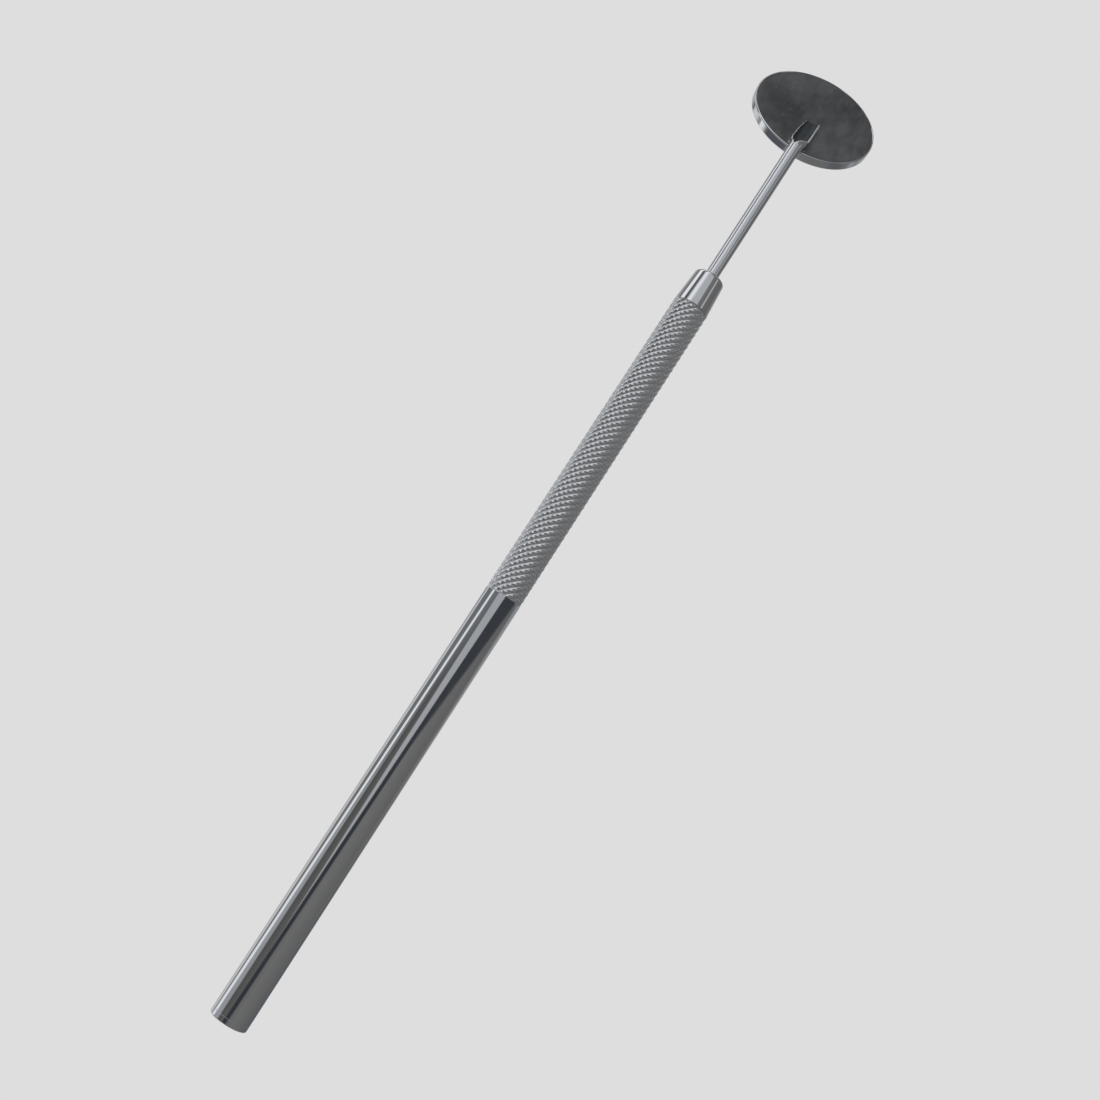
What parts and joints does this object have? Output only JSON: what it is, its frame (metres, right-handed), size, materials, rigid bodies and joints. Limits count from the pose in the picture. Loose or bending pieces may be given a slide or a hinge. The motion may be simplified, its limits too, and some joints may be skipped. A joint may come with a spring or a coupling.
{
  "type": "mouth mirror",
  "caption": "Dental mouth mirror: round mirror head on a thin stem that screws into a hollow metal handle with a knurled grip.",
  "frame": {"origin": "centre of the flat end face of the handle, the end away from the mirror", "axes": "+X along the handle's axis towards the mirror head, +Z out of the side that the mirror's back faces, Y across the symmetry plane"},
  "size_m": [0.181, 0.0219, 0.015],
  "materials": {
    "polished_steel": "mirror-polished stainless steel",
    "knurled_steel": "rolled diamond knurl, lightly polished",
    "turned_steel": "plain turned",
    "satin_steel": "dark satin",
    "braze": "satin silver braze",
    "silicone": "matte",
    "glass": "clear float glass",
    "mirror": "front-surface reflective coating"
  },
  "bodies": {
    "handle": {"end_plug": "polished_steel", "handle_tube": "polished_steel", "joining_spigot": "turned_steel", "knurled_grip": "knurled_steel", "nose_collar": "polished_steel", "thread_bush": "turned_steel"},
    "stud": {"threaded_stud": "turned_steel"},
    "head": {"stem": "polished_steel", "stem_braze": "braze", "back_plate": "satin_steel", "bezel_ring": "polished_steel", "backing_pad": "silicone", "mirror_glass": "glass", "reflective_coating": "mirror", "rim_seal": "silicone"}
  },
  "joints": [
    {"name": "head_travel", "type": "slide", "parent": "handle", "child": "stud", "axis": [1, 0, 0], "range_m": [0, 0.005]},
    {"name": "head_turn", "type": "hinge", "parent": "stud", "child": "head", "pos_m": [0.1318, 0, 0], "axis": [1, 0, 0], "range_deg": [0, 4500]}
  ],
  "couplings": [
    {"joint": "head_turn", "follows": "head_travel", "rad_per_m": 15708}
  ]
}
